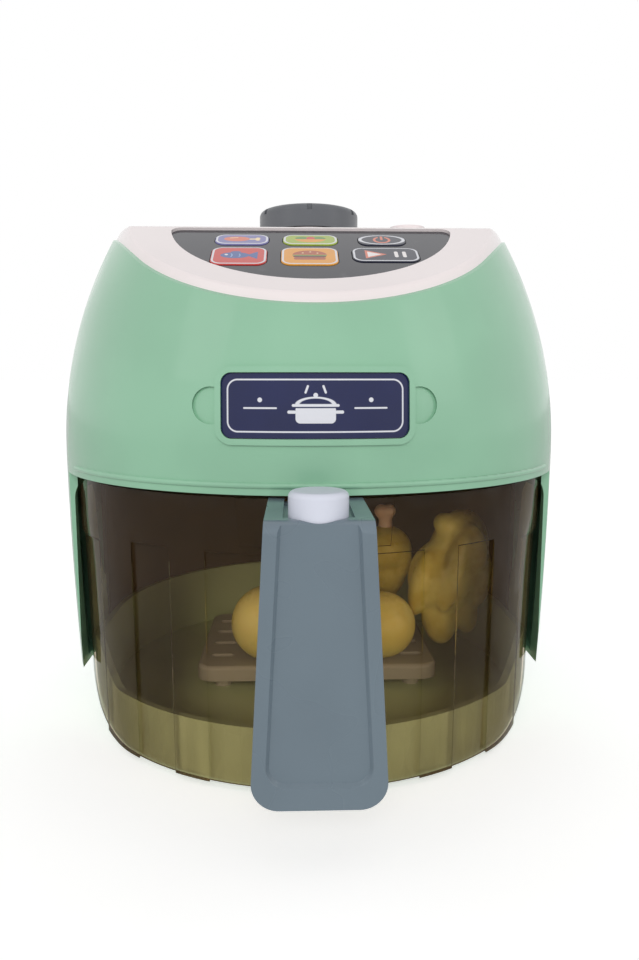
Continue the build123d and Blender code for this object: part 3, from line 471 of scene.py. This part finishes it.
class FRYER_OT_housing(bpy.types.Operator):
    """Finish the barrel, the tub and the feet"""

    bl_idname = "fryer.housing"
    bl_label = "Housing"

    def execute(self, context):
        look = finishes()
        green = moulding("green plastic", colours().housing, look.gloss, look.ripple, coat=0.3)
        dress(green, "housing_green", "front_shell", "rear_shell", "base_tub", "battery_door")
        rubber = moulding("foot rubber", shade(196, 198, 196), 0.7, grain=0.00002)
        dress(rubber, "foot_rubber", "feet")
        return {"FINISHED"}


class FRYER_OT_lid(bpy.types.Operator):
    """Finish the lid, the knob and the knob's shaft"""

    bl_idname = "fryer.lid"
    bl_label = "Lid and knob"

    def execute(self, context):
        look = finishes()
        white = moulding("white plastic", colours().lid, look.gloss, look.ripple, coat=0.3, cloud=0.015)
        dress(white, "lid_white", "lid", "battery_box")
        # Painted shade: the button gets a darker, bluer copy of the lid's white.
        shaded_white = moulding("button plastic", colours().button, look.satin, cloud=0.01)
        dress(shaded_white, "lid_white", "release_button")
        dress(moulding("knob plastic", colours().knob, look.satin, grain=0.00001), "knob_grey", "knob")
        shaft = moulding("shaft plastic", shade(226, 226, 222), look.satin)
        dress(shaft, "shaft_white", "knob_shaft", "shaft_clip")
        return {"FINISHED"}


class FRYER_OT_panel(bpy.types.Operator):
    """Finish the glossy panel and print its six keys"""

    bl_idname = "fryer.panel"
    bl_label = "Panel and keys"

    def execute(self, context):
        panel = Finish("panel gloss")
        dust = panel.spread(panel.noise(0.004, 6), 0, 0.05, 0.6, 0.75)
        colour = panel.between(dust, panel.mottle(colours().panel, 0.02, 0.08), shade(180, 180, 190))
        smears = panel.spread(panel.noise(0.012, 5, (1, 0.4, 1)), 0.07, 0.16)
        glossy = panel.skin(colour, smears, panel.bump(panel.noise(0.03), 0.00006), **CLEAR_COAT)
        dress(panel.done(glossy), "panel_black", "control_panel")
        for name, draw in KEY_PRINTS.items():
            self.print_key(name, draw)
        return {"FINISHED"}

    def print_key(self, name, draw):
        """A clear glossy cap with its picture and a pale line round it."""
        low, high = corners(name)
        finish = Finish(name.replace("_", " "))
        x, y = finish.flat_place(middle(name), PANEL_TILT)
        half_x = (high.x - low.x) / 2 / MM - KEY_FLANGE - KEY_LINE
        ground, inks, rim = draw(x, y, half_x)
        border = line(rim, KEY_LINE)
        colour = finish.printed(ground, [*inks, (border, colours().ink)])
        cap = finish.skin(
            finish.between(finish.spread(finish.noise(0.003, 4), 0, 0.06), colour, shade(120, 120, 140)),
            finish.spread(finish.noise(0.01, 4), 0.08, 0.16), finish.bump(finish.noise(0.02), 0.00004),
            **CLEAR_COAT,
        )
        dress(finish.done(cap), "panel_black", name)


# How the panel's and the keys' clear tops shine.
CLEAR_COAT = {"Specular_IOR_Level": 0.4, "Coat_Weight": 0.25, "Coat_Roughness": 0.05}

# The keys' measures, in millimetres: the hidden flange, the pale line round the face, the face's
# corner, and its half height on the top row, on the bottom row and on the play key.
KEY_FLANGE = 0.8
KEY_LINE = 0.55
KEY_CORNER = 2.7
LOW_KEY = 3.65
TALL_KEY = 6.15
PLAY_KEY = 4.85

LILAC = shade(126, 124, 178)
LIME = shade(164, 184, 62)
BROWN = shade(96, 44, 30)
RED = shade(208, 62, 54)
ORANGE = shade(232, 160, 48)
BLUE = shade(70, 96, 158)
LEAF = shade(92, 142, 52)
SALMON = shade(222, 120, 92)
CRUST = shade(176, 84, 42)
CREAM = shade(250, 224, 176)
PALE_BLUE = shade(156, 190, 232)
NIGHT = shade(24, 28, 52)
WHITE_INK = shade(240, 236, 236)


def roast_print(x, y, half):
    """A drumstick on a lilac ground."""
    meat = oval(x, y, (-1.6, 0.1), (3.9, 2.0))
    bone = stroke(x, y, (1.6, 0), (4.4, 0), 0.45)
    knuckles = disc(x, abs(y), (4.8, 0.6), 0.7)
    gleam = stroke(x, y, (-3.6, 0.9), (-1.4, 1.25), 0.2)
    inks = [(joined(bone, knuckles), CREAM), (meat, SALMON), (gleam, CREAM)]
    return LILAC, inks, block(x, y, (0, 0), (half, LOW_KEY), KEY_CORNER)


def salad_print(x, y, half):
    """Leaves and a tomato in a bowl."""
    bowl = oval(x, y, (0, 0.5), (4.8, 2.9)).most(y - 0.2)
    leaves = joined(*(oval(x, y, (at, 0.9), (2.2, 1.3)) for at in (-2.4, 2.5)))
    tomato = disc(x, y, (0.1, 1.0), 1.3)
    inks = [(leaves, LEAF), (tomato, RED), (bowl, ORANGE)]
    return LIME, inks, block(x, y, (0, 0), (half, LOW_KEY), KEY_CORNER)


def power_print(x, y, half):
    """A switch mark in an oval."""
    gap = block(x, y, (0, 2.4), (1.0, 1.4), 0.3)
    ring = line(disc(x, y, (0, -0.1), 2.3), 0.75).most(gap * -1.0)
    bar = stroke(x, y, (0, 0.2), (0, 2.5), 0.38)
    return NIGHT, [(joined(ring, bar), SALMON)], oval(x, y, (0, 0), (half, LOW_KEY))


def fish_print(x, y, half):
    """A blue fish on red."""
    body = oval(x, y, (-1.2, 0), (4.2, 2.3))
    tail = (abs(y) - (x - 2.0) * 0.85).most(x - 5.4).most(x * -1.0 + 2.2)
    fin = oval(x, y, (-1.0, 2.4), (1.5, 0.9))
    eye = disc(x, y, (-3.7, 0.5), 0.5)
    gill = line(disc(x, y, (-4.6, 0), 2.6), 0.3).most(abs(y) - 1.3).most(x * -1.0 - 2.6)
    scales = line(disc(x, y, (-1.9, 0), 2.2), 0.25).most(abs(y) - 1.2).most(x * -1.0)
    inks = [(joined(body, tail, fin), BLUE), (joined(gill, scales), PALE_BLUE), (eye, WHITE_INK)]
    return RED, inks, block(x, y, (0, 0), (half, TALL_KEY), KEY_CORNER)


def bun_print(x, y, half):
    """A filled bun on orange."""
    crown = oval(x, y, (0, 0.6), (5.0, 3.4)).most(y * -1.0 + 0.7)
    leaf = stroke(x, y, (-4.7, 0.2), (4.7, 0.2), 0.35)
    patty = stroke(x, y, (-4.2, -0.8), (4.2, -0.8), 0.6)
    base = block(x, y, (0, -2.3), (4.6, 0.9), 0.7)
    seeds = joined(*(disc(x, y, at, 0.3) for at in ((-2.0, 2.1), (0.2, 2.9), (2.3, 2.0))))
    inks = [(joined(crown, base), CRUST), (leaf, LEAF), (patty, BROWN), (seeds, CREAM)]
    return ORANGE, inks, block(x, y, (0, 0), (half, TALL_KEY), KEY_CORNER)


def play_print(x, y, half):
    """A play mark and a pause mark."""
    arrow = (abs(y) * 0.9 + x * 0.46 + 0.25).most(x * -1.0 - 5.6)
    bars = joined(*(stroke(x, y, (at, -1.7), (at, 1.7), 0.55) for at in (3.1, 5.5)))
    inks = [(line(arrow, 0.8), SALMON), (arrow + 0.3, WHITE_INK), (bars, WHITE_INK)]
    return NIGHT, inks, block(x, y, (0, 0), (half, PLAY_KEY), KEY_CORNER)


KEY_PRINTS = {
    "key_roast": roast_print,
    "key_salad": salad_print,
    "key_power": power_print,
    "key_fish": fish_print,
    "key_bun": bun_print,
    "key_play": play_print,
}


class FRYER_OT_name_plate(bpy.types.Operator):
    """Print the name plate with a thin border and a steaming pot"""

    bl_idname = "fryer.name_plate"
    bl_label = "Name plate"

    def execute(self, context):
        finish = Finish("label print")
        x, y = finish.flat_place(middle("name_plate"), upright=True)
        colour = finish.printed(
            finish.mottle(colours().label, 0.01, 0.06),
            [(joined(self.border(x, y), self.pot(x, y), self.sides(x, y)), colours().ink)],
        )
        film = finish.skin(
            colour, finish.spread(finish.noise(0.012, 4), 0.13, 0.24),
            finish.bump(finish.noise(0.009), 0.00005), Specular_IOR_Level=0.4, Coat_Weight=0.15,
            Coat_Roughness=0.1,
        )
        dress(finish.done(film), "label_navy", "name_plate")
        return {"FINISHED"}

    def border(self, x, y):
        """A thin line that follows the plate's edge."""
        low, high = corners("name_plate")
        half = [size / 2 / MM - PLATE_MARGIN for size in (high.x - low.x, high.z - low.z)]
        return line(block(x, y, (0, 0), half, 2.6), 0.4)

    def pot(self, x, y):
        """A steaming pot with its lid."""
        pan = block(x, y, (0, -2.2), (5.2, 2.3), 1.2).most(y + 0.6)
        rim = stroke(x, y, (-5.8, 0.1), (5.8, 0.1), 0.35)
        bow = line(oval(x, y, (0, 0.2), (4.8, 1.9)), 0.45).most(y * -1.0 + 0.2)
        grip = disc(x, y, (0, 2.7), 0.6)
        ears = stroke(abs(x), y, (5.4, -1.6), (6.9, -1.6), 0.4)
        steam = stroke(abs(x), y, (2.6, 3.4), (2.0, 5.0), 0.28)
        return joined(pan, rim, bow, grip, ears, steam)

    def sides(self, x, y):
        """A rule and a dot on each side of the pot."""
        rules = stroke(abs(x), y, (10.2, -0.6), (18.5, -0.6), 0.22)
        return joined(rules, disc(abs(x), y, (14.4, 1.5), 0.6))


# From the plate's edge to its border, in millimetres.
PLATE_MARGIN = 1.7


class FRYER_OT_window(bpy.types.Operator):
    """Finish the smoked window"""

    bl_idname = "fryer.window"
    bl_label = "Window"

    def execute(self, context):
        look = finishes()
        smoke = smoked("smoked plastic", colours().smoke, colours().haze, look.haze_share)
        dress(smoke, "window_smoke", "window")
        soften(0.0003, "window")
        return {"FINISHED"}


class FRYER_OT_handle(bpy.types.Operator):
    """Finish the handle and its cover, and give the spring a mesh of its own"""

    bl_idname = "fryer.handle"
    bl_label = "Handle"

    def execute(self, context):
        look = finishes()
        grey = moulding("handle plastic", colours().handle, look.satin * 0.8, look.ripple, coat=0.15)
        dress(grey, "handle_grey", "handle", "handle_cover")
        soften(0.0005, "handle")
        self.spring()
        return {"FINISHED"}

    def spring(self):
        """Gives the spring a mesh of its own."""
        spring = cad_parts["button_spring"]
        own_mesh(spring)


class FRYER_OT_basket(bpy.types.Operator):
    """Finish the drawer's pan, the drum round it and the rack"""

    bl_idname = "fryer.basket"
    bl_label = "Pan, drum and rack"

    def execute(self, context):
        look = finishes()
        pan = moulding("pan plastic", colours().pan, look.satin, look.ripple, cloud=0.05)
        dress(pan, "housing_green", "drawer_pan")
        # The drum's dark brown is painted shade for the inside of the bay.
        dress(moulding("drum plastic", colours().liner, 0.6, grain=0.000006), "liner_dark", "bay_liner")
        dress(moulding("rack plastic", colours().rack, look.satin, cloud=0.05), "rack_grey", "rack")
        return {"FINISHED"}


class FRYER_OT_food(bpy.types.Operator):
    """Model the play potato, chicken and drumstick"""

    bl_idname = "fryer.food"
    bl_label = "Play food"

    def execute(self, context):
        tint = colours()
        yellow = vinyl("potato vinyl", tint.potato, shade(246, 230, 130), shade(250, 242, 166), 0.0003)
        golden = vinyl("roast vinyl", tint.roast, shade(206, 188, 84), shade(234, 226, 138))
        bone = vinyl("bone vinyl", tint.bone, shade(226, 190, 172), shade(244, 222, 208), 0.0002)
        self.lumps("play_potato", "potato", "food_potato", yellow, POTATO_LUMPS)
        self.lumps("play_chicken", "roast_chicken", "food_roast", golden, CHICKEN_LUMPS)
        self.lumps("play_drumstick", "drumstick", "food_roast", golden, DRUMSTICK_LUMPS)
        self.lumps("play_bone", "drumstick", "shaft_white", bone, BONE_LUMPS)
        return {"FINISHED"}

    def lumps(self, name, node, slot, material, shapes):
        """Melts egg-shaped lumps into one skin that rides in the drawer."""
        body = bmesh.new()
        for place, half, turn in shapes:
            matrix = Matrix.LocRotScale(
                Vector(place) * MM, Euler([radians(a) for a in turn]), Vector(half) * MM
            )
            bmesh.ops.create_icosphere(body, subdivisions=4, radius=1, matrix=matrix)
        piece = piece_from(body, name, material)
        remesh = piece.modifiers.new("One skin", "REMESH")
        remesh.mode = "VOXEL"
        remesh.voxel_size = finishes().food_grain
        remesh.use_smooth_shade = True
        smooth = piece.modifiers.new("Soft creases", "SMOOTH")
        smooth.factor = 0.5
        smooth.iterations = 12
        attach(piece, "drawer")
        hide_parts(node)


# Each lump has its middle and half sizes in millimetres, and its turn in degrees.
POTATO_LUMPS = [
    ((-14.6, 0.65, 29.6), (14.2, 13.4, 13.7), (0, 0, 0)),
    ((6.0, 0.9, 29.4), (19.0, 12.9, 13.1), (0, 3, 4)),
    ((26.0, 0.65, 28.4), (12.1, 11.9, 12.0), (0, 0, 0)),
]
CHICKEN_LUMPS = [
    ((55.6, 11.2, 53.5), (10.9, 11.5, 15.6), (0, 12, 0)),
    ((49.6, 10.8, 43.5), (12.8, 12.0, 14.5), (0, 16, 0)),
    ((48.2, 8.6, 29.0), (6.6, 6.6, 11.2), (0, -8, 0)),
    ((57.4, 10.0, 31.8), (5.4, 6.0, 10.6), (0, -14, 0)),
    ((63.0, 8.6, 44.0), (4.6, 6.2, 11.5), (0, 4, 0)),
    ((51.6, 0.8, 47.0), (4.2, 3.6, 15.2), (0, 14, 0)),
    ((41.0, 6.0, 42.0), (4.4, 5.4, 12.5), (0, 12, 0)),
    ((59.4, 2.6, 56.5), (4.8, 3.6, 8.8), (0, -14, 0)),
    ((50.5, 8.8, 63.5), (5.2, 5.4, 4.4), (0, 30, 0)),
]
DRUMSTICK_LUMPS = [
    ((30.0, 27.65, 50.0), (10.6, 10.4, 9.8), (0, 0, 0)),
    ((30.2, 27.2, 41.0), (8.4, 8.0, 9.6), (0, 4, 0)),
    ((30.0, 27.65, 33.0), (4.8, 4.8, 7.0), (0, 0, 0)),
    ((36.0, 23.4, 47.5), (4.2, 3.8, 7.6), (0, -8, 0)),
]
BONE_LUMPS = [
    ((30.0, 27.65, 58.0), (3.0, 3.0, 8.0), (0, 0, 0)),
    ((28.3, 27.65, 65.4), (2.9, 2.7, 3.0), (0, 0, 0)),
    ((31.7, 27.65, 65.6), (2.7, 2.7, 2.8), (0, 0, 0)),
    ((30.0, 27.65, 22.6), (3.0, 3.0, 6.6), (0, 0, 0)),
]


def piece_from(body, name, material):
    """Makes a finished mesh the scene's own piece."""
    mesh = bpy.data.meshes.new(name)
    body.to_mesh(mesh)
    body.free()
    mesh.materials.append(material)
    piece = bpy.data.objects.new(name, mesh)
    bpy.context.scene.collection.objects.link(piece)
    return piece


class FRYER_OT_workings(bpy.types.Operator):
    """Finish the board, the switch, the speaker, the cells and the screws"""

    bl_idname = "fryer.workings"
    bl_label = "Workings"

    def execute(self, context):
        self.board()
        black = moulding("black plastic", shade(38, 39, 41), 0.45, grain=0.00001)
        dress(black, "switch_black", "rotary_switch", "speaker")
        dress(moulding("mat rubber", shade(206, 208, 204), 0.6), "foot_rubber", "key_mat")
        self.cells()
        steel = satin_metal("zinc plating", shade(188, 190, 194))
        dress(
            steel, "screw_steel", "board_screws", "case_screws", "handle_screws", "cover_screws",
            "battery_door_screw", "battery_contacts", "button_spring",
        )
        return {"FINISHED"}

    def board(self):
        """Green lacquer over thin copper tracks."""
        finish = Finish("board lacquer")
        x, y = finish.flat_place(middle("main_board"), PANEL_TILT)
        lanes = abs((x * 0.25 + finish.noise(0.02) * 2.0).run("FRACT") - 0.5) - 0.1
        cross = abs((y * 0.2 + finish.noise(0.02) * 1.5).run("FRACT") - 0.5) - 0.06
        colour = finish.printed(
            finish.mottle(shade(28, 92, 56), 0.01, 0.1), [(joined(lanes, cross) * 3.0, shade(64, 132, 78))]
        )
        lacquer = finish.skin(colour, finish.spread(finish.noise(0.006, 3), 0.25, 0.4), Coat_Weight=0.4)
        dress(finish.done(lacquer), "board_green", "main_board")

    def cells(self):
        """A plain sleeve on each cell, dark for most of its length and copper for the rest."""
        finish = Finish("cell sleeve")
        x, y = finish.flat_place(middle("batteries"), upright=True)
        dark_part = (x - 12.0).most(x * -1.0 - 40.0)
        colour = finish.printed(
            finish.mottle(shade(52, 54, 60), 0.006, 0.1), [(dark_part * -1.0, shade(196, 148, 66))]
        )
        sleeve = finish.skin(colour, finish.spread(finish.noise(0.005, 3), 0.2, 0.34), Coat_Weight=0.4)
        dress(finish.done(sleeve), "cell_sleeve", "batteries")


class FRYER_OT_stage(bpy.types.Operator):
    """Set up the floor, the soft lamps, the white surroundings and the camera"""

    bl_idname = "fryer.stage"
    bl_label = "Stage"

    def execute(self, context):
        stage = context.scene.fryer_stage
        self.floor(stage)
        self.surroundings(stage)
        self.lamps(stage)
        self.camera(stage)
        context.scene.view_settings.view_transform = "Standard"
        return {"FINISHED"}

    def floor(self, stage):
        """White, and a touch brighter to the eye, so that it meets the background without a line."""
        grid = bmesh.new()
        bmesh.ops.create_grid(grid, x_segments=1, y_segments=1, size=stage.floor_half)
        finish = Finish("white floor")
        seen = finish.add("ShaderNodeLightPath").outputs["Is Camera Ray"]
        matt = finish.skin(
            finish.mottle(shade(250, 250, 250), 0.3, 0.01), finish.spread(finish.noise(0.05), 0.75, 0.85)
        )
        lift = finish.add("ShaderNodeEmission", {"Color": (1, 1, 1, 1), "Strength": FLOOR_LIFT})
        bright = finish.add("ShaderNodeAddShader")
        finish.join(bright.inputs[0], matt)
        finish.join(bright.inputs[1], lift.outputs[0])
        piece_from(grid, "floor", finish.done(finish.blend(seen, matt, bright.outputs[0])))

    def surroundings(self, stage):
        """A soft sky that is plain white where it is seen, also in gloss and through the window."""
        world = bpy.data.worlds.new("soft room")
        room = Nodes(world)
        path = room.add("ShaderNodeLightPath").outputs
        glossy = Reading(room, path["Is Glossy Ray"]).most(path["Is Transmission Ray"])
        strength = room.add(
            "ShaderNodeMapRange",
            {"Value": glossy.most(path["Is Camera Ray"]), "To Min": stage.sky, "To Max": 1.0},
        )
        sky = room.add("ShaderNodeBackground", {"Color": (1, 1, 1, 1), "Strength": strength.outputs[0]})
        room.add("ShaderNodeOutputWorld", {"Surface": sky.outputs[0]})
        bpy.context.scene.world = world

    def lamps(self, stage):
        """A broad lamp in front and above, which leaves no glare, and a soft box on each side."""
        self.lamp("broad lamp", "SUN", stage.sun, (-0.06, -1.0, 0.56)).angle = radians(34)
        for name, place in (("left box", (-0.55, -0.45, 0.5)), ("right box", (0.6, -0.4, 0.42))):
            box = self.lamp(name, "AREA", stage.box_power, place)
            box.shape = "RECTANGLE"
            box.size, box.size_y = 0.3, 0.4

    def lamp(self, name, kind, power, place):
        """A lamp aimed at the air fryer. Only the soft boxes show in gloss."""
        light = bpy.data.lights.new(name, kind)
        light.energy = power
        light.color = WARM_WHITE
        holder = bpy.data.objects.new(name, light)
        holder.location = place
        holder.visible_glossy = kind == "AREA"
        holder.rotation_euler = (LAMP_AIM - Vector(place)).to_track_quat("-Z", "Y").to_euler()
        bpy.context.scene.collection.objects.link(holder)
        return light

    def camera(self, stage):
        lens = bpy.data.cameras.new("camera")
        lens.lens = stage.camera_lens
        lens.clip_start = 0.01
        camera = bpy.data.objects.new("camera", lens)
        camera.location = stage.camera_place
        camera.rotation_euler = stage.camera_turn
        bpy.context.scene.collection.objects.link(camera)
        bpy.context.scene.camera = camera


OPERATORS = (
    FRYER_OT_housing,
    FRYER_OT_lid,
    FRYER_OT_panel,
    FRYER_OT_name_plate,
    FRYER_OT_window,
    FRYER_OT_handle,
    FRYER_OT_basket,
    FRYER_OT_food,
    FRYER_OT_workings,
    FRYER_OT_stage,
)


class FRYER_PT_sidebar(bpy.types.Panel):
    """Lists the air fryer's pieces, in the order that they are made"""

    bl_label = "Air Fryer"
    bl_idname = "FRYER_PT_sidebar"
    bl_space_type = "VIEW_3D"
    bl_region_type = "UI"
    bl_category = "Air Fryer"

    def draw(self, context):
        for operator in OPERATORS:
            self.layout.operator(operator.bl_idname)
        for group in ("fryer_colours", "fryer_finish", "fryer_stage"):
            settings = getattr(context.scene, group)
            box = self.layout.box()
            for name in settings.__annotations__:
                box.prop(settings, name)


CLASSES = (FryerColours, FryerFinish, FryerStage, *OPERATORS, FRYER_PT_sidebar)


def register():
    for cls in CLASSES:
        bpy.utils.register_class(cls)
    bpy.types.Scene.fryer_colours = PointerProperty(type=FryerColours)
    bpy.types.Scene.fryer_finish = PointerProperty(type=FryerFinish)
    bpy.types.Scene.fryer_stage = PointerProperty(type=FryerStage)


def unregister():
    del bpy.types.Scene.fryer_stage
    del bpy.types.Scene.fryer_finish
    del bpy.types.Scene.fryer_colours
    for cls in reversed(CLASSES):
        bpy.utils.unregister_class(cls)


def main():
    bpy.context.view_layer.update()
    register()
    bpy.ops.fryer.housing()
    bpy.ops.fryer.lid()
    bpy.ops.fryer.panel()
    bpy.ops.fryer.name_plate()
    bpy.ops.fryer.window()
    bpy.ops.fryer.handle()
    bpy.ops.fryer.basket()
    bpy.ops.fryer.food()
    bpy.ops.fryer.workings()
    bpy.ops.fryer.stage()


if __name__ == "__main__":
    main()
